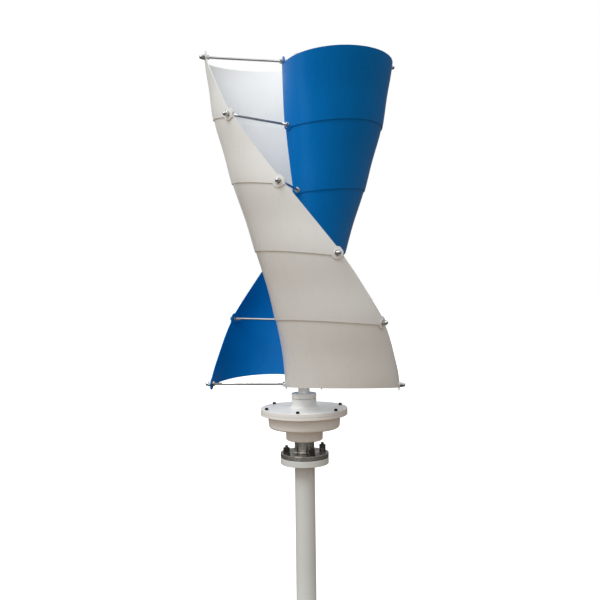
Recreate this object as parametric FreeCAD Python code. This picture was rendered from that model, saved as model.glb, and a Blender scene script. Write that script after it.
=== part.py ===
import FreeCAD, Part

import math
import os

# Small vertical-axis wind turbine: a twisted two-blade rotor on an outer-rotor generator, on a short mast.
# Millimetres. The origin is the centre of the mast's foot, +Z up along the mast and the rotor shaft.
# Angles are in degrees about +Z, counter-clockwise seen from above, from +X.

# ---- driving dimensions: mast ----
BASE_R = 120.0                  # round base plate
BASE_T = 12.0
BASE_HOLE_PCD = 190.0
BASE_HOLE_R = 7.0
BASE_CABLE_R = 20.0
BASE_EDGE = 2.0
BASE_HOLE_PHASE = 45.0
BASE_WELD = 5.0                 # leg of the weld between tube and plate
MAST_R = 30.0                   # 60 mm tube
MAST_WALL = 3.0
MAST_TOP = 500.0
FLANGE_R = 72.0
FLANGE_T = 19.0
FLANGE_EDGE = 1.5
FLANGE_CABLE_R = 16.0
STUD_R = 5.0                    # M10
STUD_CIRCLE_R = 57.6
STUD_COUNT = 4
STUD_PHASE = 17.0
STUD_SINK = 17.0                # length of stud screwed into the mast flange
STUD_PROUD = 25.0               # length of stud above the stainless flange
STUD_POINT = 0.9                # chamfer at both ends of a stud
STUD_CLEARANCE = 0.5            # in the stainless flange and the gasket
M10_WASHER_R = 10.0
M10_WASHER_T = 2.0
M10_AF = 17.0
M10_NUT_T = 8.4
GASKET_T = 1.5
GASKET_INSET = 0.8

# ---- driving dimensions: fixed generator shaft and stator ----
STEEL_FLANGE_T = 12.5
COLLAR_R = 29.0
COLLAR_FILLET = 4.0
STEEL_EDGE = 1.0
COLLAR_TOP = 580.5
LOWER_SHOULDER_R = 23.5
LOWER_BEARING_Z = 582.0
SEAT_R = 20.0                   # lower bearing, spacer, stator hub and lock nut
SEAT_TOP = 651.0
UPPER_SHOULDER_R = 18.0
UPPER_BEARING_Z = 673.0
UPPER_SEAT_R = 15.0
SHAFT_TOP = 689.5
SHAFT_BORE_R = 8.0
SHAFT_BORE_TOP = 665.0
WIRE_HOLE_R = 3.5
WIRE_HOLE_Z = 660.0
STATOR_HUB_Z = 622.0
STATOR_HUB_R = 26.0
STATOR_FLANGE_R = 45.0
STATOR_FLANGE_T = 4.0
STATOR_Z = 629.5
STATOR_T = 12.0
STATOR_R = 94.0
COIL_COUNT = 9
COIL_DEPTH = 11.0
COIL_IN_R = 52.0
COIL_OUT_R = 90.0
COIL_HALF_ANGLE = 18.5
COIL_BAR = 9.0                  # width of one side of a coil's winding
COIL_GAP = 0.1                  # between a coil and its pocket
STATOR_SCREW_CIRCLE_R = 36.0
STATOR_SCREW_COUNT = 6
STATOR_SCREW_PHASE = 30.0
STATOR_SCREW_R = 2.0            # M4 socket head
STATOR_SCREW_HEAD_R = 3.5
STATOR_SCREW_HEAD_T = 3.5
STATOR_SOCKET_R = 1.6
STATOR_SOCKET_DEPTH = 2.0
LOCK_NUT_R = 28.0
LOCK_NUT_T = 7.0
LOCK_NUT_SLOT = 5.0
SPACER_R = 24.0
KEY_W = 6.0
KEY_L = 14.0
KEY_SINK = 3.5                  # depth of the key in the shaft
KEY_RISE = 3.0                  # from the foot of the stator hub to the key

# ---- driving dimensions: ball bearings (inner radius, outer radius, width, ball radius, ball count) ----
LOWER_BEARING = (20.0, 40.0, 18.0, 6.0, 9)
UPPER_BEARING = (15.0, 27.5, 13.0, 3.55, 11)
RACE_SHARE = 0.30               # share of the section that each ring takes
BALL_GAP = 0.05                 # running gap between a ball and the groove of either ring
CAGE_SHARE = 0.20               # cage thickness, as a share of the ring-to-ring section
CAGE_RIM = 1.0                  # cage beyond the balls at each side
CIRCLIP_T = 1.6
CIRCLIP_GROOVE_T = 1.7
CIRCLIP_EYE_R = 2.4
CIRCLIP_EYE_HOLE_R = 0.9
CIRCLIP_EYE_INSET = 0.1         # from the ring's bore to the eye's rim
SHAFT_CLIP_GROOVE = 1.0         # depth
SHAFT_CLIP_W = 3.0              # radial width outside the shaft
SHAFT_CLIP_OPEN = 5.0
HOUSING_CLIP_GROOVE = 1.5
HOUSING_CLIP_W = 4.0            # radial width inside the housing's bore
HOUSING_CLIP_OPEN = 6.0

# ---- driving dimensions: turning housing and cover ----
NECK_R = 55.0
NECK_Z = 570.5
NECK_ROUND = 5.0
BODY_Z = 608.0
BODY_LOW_R = 105.5
BODY_HIGH_R = 108.5
BODY_ROUND = 8.0
NECK_ROOT = 4.0
RIM_ROOT = 3.0
FLOOR_Z = 614.0
CAVITY_R = 100.0
RIM_R = 129.5
RIM_Z = 647.0
RIM_EDGE = 1.2
COVER_GASKET_T = 1.0
COVER_Z = 657.0
COVER_T = 10.0
COVER_SPIGOT_T = 4.0
COVER_SPIGOT_W = 3.8
SEAL_LIP_R = 36.0
SEAL_TOP = 579.0
SEAL_RECESS = 1.0               # from the foot of the neck up to the seal
SEAL_SKIN = 2.5
SEAL_LIP_GAP = 0.05
HUB_R = 37.25
HUB_FOOT_FILLET = 9.0
HUB_GROOVE_Z = 695.0
HUB_TOP = 710.5
HUB_WEB_Z = 691.0
HUB_POCKET_R = 23.0             # room for the shaft's end and its circlip
CLAMP_BOSS_R = 24.0
GROOVE_H = 1.0
GROOVE_ROUND = 0.8
CLAMP_LIP_T = 3.3
CLAMP_EDGE = 2.0
SCREW_CIRCLE_R = 118.0
SCREW_COUNT = 6
SCREW_PHASE = 17.0
SCREW_R = 3.0                   # M6 socket head
SCREW_HEAD_R = 5.0
SCREW_HEAD_T = 6.0
SCREW_HEAD_EDGE = 0.6
SCREW_SOCKET_AF = 5.0
SCREW_SOCKET_DEPTH = 3.0
SCREW_CLEARANCE = 0.3
SET_SCREW_R = 4.0
SET_SCREW_SOCKET_AF = 4.0
SET_SCREW_SOCKET_DEPTH = 4.0
SET_SCREW_SINK = 1.0            # below the face of the clamp ring
SET_SCREW_ANGLES = (45.0, 135.0)
SET_SCREW_Z = 702.0

# ---- driving dimensions: magnets and their plates ----
PLATE_IN_R = 35.0
PLATE_OUT_R = 95.0
PLATE_T = 6.0
MAGNET_T = 8.0
MAGNET_COUNT = 12
MAGNET_IN_R = 55.0
MAGNET_OUT_R = 92.0
MAGNET_HALF_ANGLE = 11.5
PLATE_SCREW_CIRCLE_R = 45.0
PLATE_SCREW_COUNT = 6
PLATE_SCREW_R = 2.5
PLATE_SCREW_HEAD_R = 4.6
PLATE_SCREW_L = 10.5
PLATE_SOCKET_R = 1.5
PLATE_SOCKET_DEPTH = 1.8
UPPER_SCREW_PHASE = 30.0

# ---- driving dimensions: rotor ----
TUBE_R = 17.0                   # white shaft tube
TUBE_WALL = 3.0
TUBE_Z = 692.5
TUBE_TOP = 1714.0
SPIGOT_TOP = 723.0
CAP_T = 3.0
CAP_PLUG_L = 8.0
CAP_EDGE = 1.5
LEVELS = 6                      # rod levels, counted from the top
TOP_LEVEL_Z = 1692.25
LEVEL_STEP = 191.25
TWIST_PER_LEVEL = 31.6
TOP_ANGLE = 190.4               # direction of the white blade's outer edge at the top level
EDGE_R = 281.0                  # rod holes at a blade's outer edge, measured from the axis
OVERLAP_R = 51.6                # a blade's inner edge, past the axis on its far side
SHELL_T = 2.5
LAP_GAP = 0.4                   # gap between two lapped shells
WAIST = 0.015                   # how far a blade draws in midway between two levels
EDGE_MARGIN = 12.0              # from the rod holes to the free edge, along the shell
SPARE = 9.0                     # extra shell that is trimmed away around the lugs
RIM_DROP = 8.0                  # a seam starts this far below the rod holes
RIM_RISE = 18.0                 # and rises by this much to the crown of the blade
LAP = 13.0                      # how far a shell reaches up behind the one above it
OUTER_LUG_R = 17.5
INNER_LUG_R = 15.0
BOSS_R = 9.5
BOSS_T = 0.8
LOFT_SECTIONS = 7
LUG_CUT = 12.0                  # half-length of the cylinder that outlines a lug
SEAM_BOX = 700.0                # size of the block that trims a shell at a seam

# ---- driving dimensions: M8 rods and their fasteners ----
ROD_R = 4.0
ROD_HOLE_R = 4.3
WASHER_R = 8.0
WASHER_T = 1.6
NUT_AF = 13.0
NUT_T = 6.5
DOME_H = 15.0
DOME_BORE = 12.0
ROD_END_GAP = 0.5
SADDLE_R = 7.5
SADDLE_T = 3.0                  # at its thinnest, over the crown of the shaft
SADDLE_HOLLOW = 4.0             # depth that covers the round of the shaft
WASHER_HOLE_R = 4.2
ROD_POINT = 0.8                 # chamfer at the rod's ends
DOME_SHARE = 0.95               # dome radius, as a share of half the width across flats
THREAD_GAP = 0.05               # between a screw and its hole
PRESS_GAP = 0.02                # between a pressed or welded piece and its seat
OVER = 1.0                      # how far a cutter runs past the face that it cuts
NUT_FACE = 0.97                 # a nut's round face, as a share of its width across flats
NUT_CHAMFER = 30.0

# ---- derived ----
Z = FreeCAD.Vector(0, 0, 1)
MAST_FLANGE_TOP = MAST_TOP + FLANGE_T
STEEL_Z = MAST_FLANGE_TOP + GASKET_T
STEEL_TOP = STEEL_Z + STEEL_FLANGE_T
STATOR_TOP = STATOR_Z + STATOR_T
COVER_TOP = COVER_Z + COVER_T
UPPER_PLATE_Z = COVER_Z - PLATE_T
SHELL_R = (EDGE_R + OVERLAP_R) / 2.0
SHELL_OFFSET = (EDGE_R - OVERLAP_R) / 2.0
FLARE = SHELL_T + LAP_GAP       # a shell is this much larger at its foot than at its head
LEVEL_Z = [TOP_LEVEL_Z - LEVEL_STEP * i for i in range(LEVELS)]
BLADES = (("white", 0.0), ("blue", 180.0))


def vec(x, y, z=0.0):
    return FreeCAD.Vector(x, y, z)


def polar(radius, angle, z=0.0):
    """Point at a radius and an angle about +Z."""
    return vec(radius * math.cos(math.radians(angle)), radius * math.sin(math.radians(angle)), z)


def turned(shape, angle):
    copy = shape.copy()
    copy.rotate(vec(0, 0), Z, angle)
    return copy


def rod(radius, start, end):
    """Solid cylinder from one point to another."""
    along = end - start
    return Part.makeCylinder(radius, along.Length, start, along)


def disc(radius, z0, z1, centre=(0.0, 0.0)):
    return Part.makeCylinder(radius, z1 - z0, vec(centre[0], centre[1], z0))


def ring(outer, inner, z0, z1):
    return disc(outer, z0, z1).cut(disc(inner, z0 - OVER, z1 + OVER))


def revolve(points):
    """Solid of revolution about Z of a closed outline of (radius, z) points."""
    wire = Part.makePolygon([vec(r, 0, z) for r, z in points + points[:1]])
    return Part.Face(wire).revolve(vec(0, 0), Z, 360)


def around(count, phase=0.0):
    return [phase + 360.0 * i / count for i in range(count)]


def places(radius, angles):
    """The (x, y) of holes on a circle."""
    return [tuple(polar(radius, angle))[:2] for angle in angles]


def group(shapes):
    return Part.makeCompound(shapes)


def cut_all(shape, tools):
    return shape.cut(group(tools)) if tools else shape


def round_edges(shape, radius, wanted):
    """Fillet the circular edges for which wanted(radius, z) is true."""
    chosen = []
    for edge in shape.Edges:
        if isinstance(edge.Curve, Part.Circle) and wanted(edge.Curve.Radius, edge.Curve.Center.z):
            chosen.append(edge)
    return shape.makeFillet(radius, chosen)


def near(value, target, slack=0.01):
    return abs(value - target) < slack


def hex_prism(across_flats, z0, z1):
    corner = across_flats / math.sqrt(3.0)
    wire = Part.makePolygon([polar(corner, 60.0 * i, z0) for i in range(7)])
    return Part.Face(wire).extrude(vec(0, 0, z1 - z0))


def chamfered_nut(across_flats, height, bore):
    """Hex nut standing on z = 0, with the corners of both faces turned off."""
    corner = across_flats / math.sqrt(3.0)
    face = across_flats / 2.0 * NUT_FACE
    drop = (corner - face) * math.tan(math.radians(NUT_CHAMFER))
    outline = [(0, 0), (face, 0), (corner, drop), (corner, height - drop), (face, height), (0, height)]
    nut = hex_prism(across_flats, 0, height).common(revolve(outline))
    return nut.cut(disc(bore, -OVER, height + OVER))


def placed(shape, origin, direction):
    """Copy of a shape built along +Z, moved so that its +Z runs along direction from origin."""
    copy = shape.copy()
    turn = FreeCAD.Rotation(Z, direction)
    copy.Placement = FreeCAD.Placement(origin, turn).multiply(copy.Placement)
    return copy


# ---- mast ----

def mast_base_plate():
    plate = disc(BASE_R, 0, BASE_T)
    plate = round_edges(plate, BASE_EDGE, lambda r, z: near(z, BASE_T))
    root = MAST_R + PRESS_GAP
    weld = revolve([(root, BASE_T), (root + BASE_WELD, BASE_T), (root, BASE_T + BASE_WELD)])
    holes = [disc(BASE_HOLE_R, -OVER, BASE_T + OVER, xy)
             for xy in places(BASE_HOLE_PCD / 2.0, around(4, BASE_HOLE_PHASE))]
    holes.append(disc(BASE_CABLE_R, -OVER, BASE_T + OVER))
    return cut_all(plate.fuse(weld), holes).removeSplitter()


def mast_tube():
    return ring(MAST_R, MAST_R - MAST_WALL, BASE_T, MAST_TOP)


def stud_places():
    return places(STUD_CIRCLE_R, around(STUD_COUNT, STUD_PHASE))


def mast_top_flange():
    plate = disc(FLANGE_R, MAST_TOP, MAST_FLANGE_TOP)
    plate = round_edges(plate, FLANGE_EDGE, lambda r, z: True)
    holes = [disc(STUD_R + THREAD_GAP, MAST_FLANGE_TOP - STUD_SINK, MAST_FLANGE_TOP + OVER, xy)
             for xy in stud_places()]
    holes.append(disc(FLANGE_CABLE_R, MAST_TOP - OVER, MAST_FLANGE_TOP + OVER))
    return cut_all(plate, holes)


def flange_gasket():
    sheet = ring(FLANGE_R - GASKET_INSET, FLANGE_CABLE_R, MAST_FLANGE_TOP, STEEL_Z)
    return cut_all(sheet, [disc(STUD_R + STUD_CLEARANCE, MAST_FLANGE_TOP - OVER, STEEL_Z + OVER, xy)
                           for xy in stud_places()])


def round_ends(shape):
    """The circular edges at the ends of a plain bar."""
    return [edge for edge in shape.Edges if isinstance(edge.Curve, Part.Circle)]


def flange_studs():
    studs = []
    for xy in stud_places():
        stud = disc(STUD_R, MAST_FLANGE_TOP - STUD_SINK, STEEL_TOP + STUD_PROUD, xy)
        studs.append(stud.makeChamfer(STUD_POINT, round_ends(stud)))
    return group(studs)


def flange_washers():
    washer = ring(M10_WASHER_R, STUD_R + STUD_CLEARANCE, STEEL_TOP, STEEL_TOP + M10_WASHER_T)
    return group([washer.translated(vec(x, y)) for x, y in stud_places()])


def flange_nuts():
    """Two nuts on each stud, one locked against the other."""
    nut = chamfered_nut(M10_AF, M10_NUT_T, STUD_R + THREAD_GAP)
    foot = STEEL_TOP + M10_WASHER_T
    return group([nut.translated(vec(x, y, foot + layer * M10_NUT_T))
                  for x, y in stud_places() for layer in (0, 1)])


# ---- fixed shaft and stator ----

def stator_shaft():
    clip_z = UPPER_BEARING_Z + UPPER_BEARING[2]
    clip_top = clip_z + CIRCLIP_GROOVE_T
    clip_r = UPPER_SEAT_R - SHAFT_CLIP_GROOVE
    outline = [
        (0, STEEL_Z), (FLANGE_R, STEEL_Z), (FLANGE_R, STEEL_TOP), (COLLAR_R, STEEL_TOP),
        (COLLAR_R, COLLAR_TOP), (LOWER_SHOULDER_R, COLLAR_TOP), (LOWER_SHOULDER_R, LOWER_BEARING_Z),
        (SEAT_R, LOWER_BEARING_Z), (SEAT_R, SEAT_TOP), (UPPER_SHOULDER_R, SEAT_TOP),
        (UPPER_SHOULDER_R, UPPER_BEARING_Z), (UPPER_SEAT_R, UPPER_BEARING_Z), (UPPER_SEAT_R, clip_z),
        (clip_r, clip_z), (clip_r, clip_top), (UPPER_SEAT_R, clip_top), (UPPER_SEAT_R, SHAFT_TOP),
        (0, SHAFT_TOP)]
    shaft = revolve(outline)
    shaft = round_edges(shaft, COLLAR_FILLET, lambda r, z: near(r, COLLAR_R) and near(z, STEEL_TOP))
    shaft = round_edges(shaft, STEEL_EDGE, lambda r, z: near(r, FLANGE_R))
    holes = [disc(STUD_R + STUD_CLEARANCE, STEEL_Z - OVER, STEEL_TOP + OVER, xy) for xy in stud_places()]
    holes.append(disc(SHAFT_BORE_R, STEEL_Z - OVER, SHAFT_BORE_TOP))
    wire_end = UPPER_SHOULDER_R + OVER
    holes.append(rod(WIRE_HOLE_R, vec(-wire_end, 0, WIRE_HOLE_Z), vec(wire_end, 0, WIRE_HOLE_Z)))
    holes.append(stator_key())
    return cut_all(shaft, holes)


def stator_key():
    return Part.makeBox(KEY_W, KEY_W, KEY_L, vec(SEAT_R - KEY_SINK, -KEY_W / 2.0, STATOR_HUB_Z + KEY_RISE))


def bearing_spacer():
    return ring(SPACER_R, SEAT_R, LOWER_BEARING_Z + LOWER_BEARING[2], STATOR_HUB_Z)


def stator_screw_places():
    return places(STATOR_SCREW_CIRCLE_R, around(STATOR_SCREW_COUNT, STATOR_SCREW_PHASE))


def stator_hub():
    flange_z = STATOR_Z - STATOR_FLANGE_T
    outline = [
        (SEAT_R, STATOR_HUB_Z), (STATOR_HUB_R, STATOR_HUB_Z), (STATOR_HUB_R, flange_z),
        (STATOR_FLANGE_R, flange_z), (STATOR_FLANGE_R, STATOR_Z), (STATOR_HUB_R, STATOR_Z),
        (STATOR_HUB_R, STATOR_TOP), (SEAT_R, STATOR_TOP)]
    holes = [disc(STATOR_SCREW_R + THREAD_GAP, flange_z - OVER, STATOR_Z + OVER, xy)
             for xy in stator_screw_places()]
    return cut_all(revolve(outline), holes + [stator_key()])


def sector(inner, outer, half_angle, z0, z1, middle=0.0):
    """Ring sector between two radii, half_angle either side of the middle direction."""
    start, end = middle - half_angle, middle + half_angle

    def arc(radius):
        return Part.Arc(polar(radius, start, z0), polar(radius, middle, z0), polar(radius, end, z0)).toShape()

    def side(angle):
        return Part.makeLine(polar(inner, angle, z0), polar(outer, angle, z0))

    wire = Part.Wire(Part.__sortEdges__([arc(inner), arc(outer), side(start), side(end)]))
    return Part.Face(wire).extrude(vec(0, 0, z1 - z0))


def coil_blank(z0, z1, grow, middle):
    """One coil: a wedge-shaped winding around an open core, grown on every side by grow."""
    spread = math.degrees(grow / COIL_OUT_R)
    bar_angle = math.degrees(COIL_BAR / ((COIL_IN_R + COIL_OUT_R) / 2.0))
    outer = sector(COIL_IN_R - grow, COIL_OUT_R + grow, COIL_HALF_ANGLE + spread, z0, z1, middle)
    core = sector(COIL_IN_R + COIL_BAR + grow, COIL_OUT_R - COIL_BAR - grow,
                  COIL_HALF_ANGLE - bar_angle - spread, z0 - OVER, z1 + OVER, middle)
    return outer.cut(core)


def stator_disc():
    plate = ring(STATOR_R, STATOR_HUB_R + COIL_GAP, STATOR_Z, STATOR_TOP)
    foot = STATOR_TOP - COIL_DEPTH
    pockets = [coil_blank(foot, STATOR_TOP + OVER, COIL_GAP, angle) for angle in around(COIL_COUNT)]
    holes = [disc(STATOR_SCREW_R + SCREW_CLEARANCE, STATOR_Z - OVER, STATOR_TOP + OVER, xy)
             for xy in stator_screw_places()]
    return cut_all(plate, pockets + holes)


def stator_coils():
    foot = STATOR_TOP - COIL_DEPTH
    return group([coil_blank(foot, STATOR_TOP, 0.0, angle) for angle in around(COIL_COUNT)])


def stator_screws():
    """Cap screws down through the resin disc into the flange of the stator hub."""
    head_top = STATOR_TOP + STATOR_SCREW_HEAD_T
    screws = []
    for xy in stator_screw_places():
        head = disc(STATOR_SCREW_HEAD_R, STATOR_TOP, head_top, xy)
        socket = disc(STATOR_SOCKET_R, head_top - STATOR_SOCKET_DEPTH, head_top + OVER, xy)
        shank = disc(STATOR_SCREW_R, STATOR_Z - STATOR_FLANGE_T, STATOR_TOP, xy)
        screws.append(head.cut(socket).fuse(shank))
    return group(screws)


def stator_lock_nut():
    nut = ring(LOCK_NUT_R, SEAT_R + THREAD_GAP, STATOR_TOP, STATOR_TOP + LOCK_NUT_T)
    half = LOCK_NUT_SLOT / 2.0
    slot = Part.makeBox(LOCK_NUT_SLOT, LOCK_NUT_SLOT, LOCK_NUT_T + 2 * OVER,
                        vec(LOCK_NUT_R - half, -half, STATOR_TOP - OVER))
    return cut_all(nut, [turned(slot, angle) for angle in around(4, 45.0)])


# ---- ball bearings ----

def bearing_pitch(bearing):
    return (bearing[0] + bearing[1]) / 2.0


def bearing_rings(bearing, z):
    """Inner and outer ring, each with its ball groove."""
    inner_r, outer_r, width, ball_r, _ = bearing
    race = (outer_r - inner_r) * RACE_SHARE
    groove = Part.makeTorus(bearing_pitch(bearing), ball_r + BALL_GAP, vec(0, 0, z + width / 2.0))
    inner = ring(inner_r + race, inner_r, z, z + width).cut(groove)
    outer = ring(outer_r, outer_r - race, z, z + width).cut(groove)
    return inner, outer


def bearing_balls(bearing, z):
    _, _, width, ball_r, count = bearing
    return group([Part.makeSphere(ball_r, polar(bearing_pitch(bearing), a, z + width / 2.0))
                  for a in around(count)])


def bearing_cage(bearing, z):
    inner_r, outer_r, width, ball_r, count = bearing
    half = (outer_r - inner_r) * CAGE_SHARE / 2.0
    pitch = bearing_pitch(bearing)
    middle = z + width / 2.0
    cage = ring(pitch + half, pitch - half, middle - ball_r - CAGE_RIM, middle + ball_r + CAGE_RIM)
    pockets = [rod(ball_r + BALL_GAP, polar(pitch - ball_r, a, middle), polar(pitch + ball_r, a, middle))
               for a in around(count)]
    return cut_all(cage, pockets)


def circlip(outer, inner, z0, opening):
    """Flat spring ring with an opening and an eye at each side of it."""
    z1 = z0 + CIRCLIP_T
    eye_at = inner + CIRCLIP_EYE_R + CIRCLIP_EYE_INSET
    eye_angle = math.degrees((opening / 2.0 + CIRCLIP_EYE_R) / eye_at)
    eye_places = places(eye_at, (-eye_angle, eye_angle))
    eyes = [disc(CIRCLIP_EYE_R, z0, z1, xy) for xy in eye_places]
    holes = [disc(CIRCLIP_EYE_HOLE_R, z0 - OVER, z1 + OVER, xy) for xy in eye_places]
    slot = Part.makeBox(outer, opening, CIRCLIP_T + 2 * OVER, vec(inner / 2.0, -opening / 2.0, z0 - OVER))
    return cut_all(ring(outer, inner, z0, z1).multiFuse(eyes), holes + [slot]).removeSplitter()


def shaft_circlip():
    z0 = UPPER_BEARING_Z + UPPER_BEARING[2] + THREAD_GAP
    inner = UPPER_SEAT_R - SHAFT_CLIP_GROOVE + THREAD_GAP
    return circlip(UPPER_SEAT_R + SHAFT_CLIP_W, inner, z0, SHAFT_CLIP_OPEN)


def housing_circlip():
    z0 = LOWER_BEARING_Z + LOWER_BEARING[2] + THREAD_GAP
    seat_r = LOWER_BEARING[1]
    return circlip(seat_r + HOUSING_CLIP_GROOVE - THREAD_GAP, seat_r - HOUSING_CLIP_W, z0, HOUSING_CLIP_OPEN)


# ---- turning housing ----

def plate_screw_places(phase):
    return places(PLATE_SCREW_CIRCLE_R, around(PLATE_SCREW_COUNT, phase))


def cover_screw_places():
    return places(SCREW_CIRCLE_R, around(SCREW_COUNT, SCREW_PHASE))


def lower_housing():
    seat_r = LOWER_BEARING[1]
    clip_r = seat_r + HOUSING_CLIP_GROOVE
    clip_z = LOWER_BEARING_Z + LOWER_BEARING[2]
    clip_top = clip_z + CIRCLIP_GROOVE_T
    rim_top = COVER_Z - COVER_GASKET_T
    outline = [
        (seat_r, NECK_Z), (NECK_R, NECK_Z), (NECK_R, BODY_Z), (BODY_LOW_R, BODY_Z), (BODY_HIGH_R, RIM_Z),
        (RIM_R, RIM_Z), (RIM_R, rim_top), (CAVITY_R, rim_top), (CAVITY_R, FLOOR_Z), (seat_r, FLOOR_Z),
        (seat_r, clip_top), (clip_r, clip_top), (clip_r, clip_z), (seat_r, clip_z),
        (seat_r, LOWER_BEARING_Z), (SEAL_LIP_R, LOWER_BEARING_Z), (SEAL_LIP_R, SEAL_TOP), (seat_r, SEAL_TOP)]
    body = revolve(outline)
    body = round_edges(body, NECK_ROUND, lambda r, z: near(r, NECK_R) and near(z, NECK_Z))
    body = round_edges(body, NECK_ROOT, lambda r, z: near(r, NECK_R) and near(z, BODY_Z))
    body = round_edges(body, BODY_ROUND, lambda r, z: near(r, BODY_LOW_R) and near(z, BODY_Z))
    body = round_edges(body, RIM_EDGE, lambda r, z: near(r, RIM_R) and near(z, RIM_Z))
    body = round_edges(body, RIM_ROOT, lambda r, z: near(r, BODY_HIGH_R) and near(z, RIM_Z))
    holes = [disc(SCREW_R + THREAD_GAP, RIM_Z - OVER, rim_top + OVER, xy) for xy in cover_screw_places()]
    holes += [disc(PLATE_SCREW_R + THREAD_GAP, FLOOR_Z + PLATE_T - PLATE_SCREW_L, FLOOR_Z + OVER, xy)
              for xy in plate_screw_places(0.0)]
    return cut_all(body, holes)


def shaft_seal():
    """Lip seal around the fixed collar: a pressed outer wall, a floor and a lip."""
    wall = LOWER_BEARING[1] - PRESS_GAP
    foot = NECK_Z + SEAL_RECESS
    floor = foot + SEAL_SKIN
    lip = COLLAR_R + SEAL_LIP_GAP
    lip_top = COLLAR_TOP - SEAL_SKIN
    outline = [
        (lip, foot), (wall, foot), (wall, SEAL_TOP - PRESS_GAP), (wall - SEAL_SKIN, SEAL_TOP - PRESS_GAP),
        (wall - SEAL_SKIN, floor), (lip + SEAL_SKIN, floor), (lip + SEAL_SKIN, lip_top), (lip, lip_top)]
    return revolve(outline)


def screw_cone(z_flat, z_tip, xy):
    """Head of a flat-head screw, widest at z_flat."""
    direction = vec(0, 0, math.copysign(1.0, z_tip - z_flat))
    return Part.makeCone(PLATE_SCREW_HEAD_R, PLATE_SCREW_R, abs(z_tip - z_flat), vec(xy[0], xy[1], z_flat),
                         direction)


def rotor_plate(z0, screw_face, direction, phase):
    """Back-iron plate whose flat-head screws enter at screw_face and point up (+1) or down (-1)."""
    tip = screw_face + direction * (PLATE_SCREW_HEAD_R - PLATE_SCREW_R)
    tools = []
    for xy in plate_screw_places(phase):
        tools.append(disc(PLATE_SCREW_R + THREAD_GAP, z0 - OVER, z0 + PLATE_T + OVER, xy))
        tools.append(screw_cone(screw_face, tip, xy))
    return cut_all(ring(PLATE_OUT_R, PLATE_IN_R, z0, z0 + PLATE_T), tools)


def plate_screws(screw_face, direction, phase):
    """Flat-head screws from screw_face, pointing up (+1) or down (-1), each with a round socket."""
    tip = screw_face + direction * (PLATE_SCREW_HEAD_R - PLATE_SCREW_R)
    end = screw_face + direction * PLATE_SCREW_L
    socket_z = min(screw_face, screw_face + direction * PLATE_SOCKET_DEPTH)
    screws = []
    for xy in plate_screw_places(phase):
        shank = disc(PLATE_SCREW_R, min(screw_face, end), max(screw_face, end), xy)
        socket = disc(PLATE_SOCKET_R, socket_z, socket_z + PLATE_SOCKET_DEPTH, xy)
        screws.append(screw_cone(screw_face, tip, xy).fuse(shank).cut(socket))
    return group(screws)


def magnets(z0):
    return group([sector(MAGNET_IN_R, MAGNET_OUT_R, MAGNET_HALF_ANGLE, z0, z0 + MAGNET_T, angle)
                  for angle in around(MAGNET_COUNT)])


def cover_gasket():
    z0 = COVER_Z - COVER_GASKET_T
    sheet = ring(RIM_R - GASKET_INSET, CAVITY_R + GASKET_INSET, z0, COVER_Z)
    return cut_all(sheet, [disc(SCREW_R + SCREW_CLEARANCE, z0 - OVER, COVER_Z + OVER, xy)
                           for xy in cover_screw_places()])


def top_cover():
    """Flat cover with a hub: bearing bore below, spigot and socket for the rotor tube above."""
    bearing_r = UPPER_BEARING[1]
    bearing_top = UPPER_BEARING_Z + UPPER_BEARING[2]
    boss_top = HUB_TOP - CLAMP_LIP_T - PRESS_GAP
    socket_r = TUBE_R + THREAD_GAP
    spigot_r = TUBE_R - TUBE_WALL - THREAD_GAP
    outline = [
        (bearing_r, COVER_Z), (RIM_R, COVER_Z), (RIM_R, COVER_TOP), (HUB_R, COVER_TOP),
        (HUB_R, HUB_GROOVE_Z), (CLAMP_BOSS_R, HUB_GROOVE_Z), (CLAMP_BOSS_R, boss_top), (socket_r, boss_top),
        (socket_r, TUBE_Z), (spigot_r, TUBE_Z), (spigot_r, SPIGOT_TOP), (0, SPIGOT_TOP), (0, HUB_WEB_Z),
        (HUB_POCKET_R, HUB_WEB_Z), (HUB_POCKET_R, bearing_top), (bearing_r, bearing_top)]
    cover = revolve(outline)
    cover = round_edges(cover, HUB_FOOT_FILLET, lambda r, z: near(r, HUB_R) and near(z, COVER_TOP))
    cover = round_edges(cover, RIM_EDGE, lambda r, z: near(r, RIM_R) and near(z, COVER_TOP))
    cover = round_edges(cover, GROOVE_ROUND, lambda r, z: near(r, HUB_R) and near(z, HUB_GROOVE_Z))
    spigot_out = CAVITY_R - SCREW_CLEARANCE
    spigot = ring(spigot_out, spigot_out - COVER_SPIGOT_W, COVER_Z - COVER_SPIGOT_T, COVER_Z)
    holes = [disc(SCREW_R + SCREW_CLEARANCE, COVER_Z - OVER, COVER_TOP + OVER, xy)
             for xy in cover_screw_places()]
    holes += [disc(PLATE_SCREW_R + THREAD_GAP, COVER_Z - OVER, UPPER_PLATE_Z + PLATE_SCREW_L, xy)
              for xy in plate_screw_places(UPPER_SCREW_PHASE)]
    holes += [set_screw_hole(angle) for angle in SET_SCREW_ANGLES]
    return cut_all(cover.fuse(spigot), holes)


def cover_screws():
    head_top = COVER_TOP + SCREW_HEAD_T
    screws = []
    for xy in cover_screw_places():
        head = disc(SCREW_HEAD_R, COVER_TOP, head_top, xy)
        head = round_edges(head, SCREW_HEAD_EDGE, lambda r, z: near(z, head_top))
        socket = hex_prism(SCREW_SOCKET_AF, head_top - SCREW_SOCKET_DEPTH, head_top + OVER)
        shank = disc(SCREW_R, RIM_Z + OVER, COVER_TOP, xy)
        screws.append(head.cut(socket.translated(vec(xy[0], xy[1]))).fuse(shank))
    return group(screws)


def set_screw_hole(angle):
    return rod(SET_SCREW_R + THREAD_GAP, polar(TUBE_R, angle, SET_SCREW_Z),
               polar(HUB_R + OVER, angle, SET_SCREW_Z))


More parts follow.
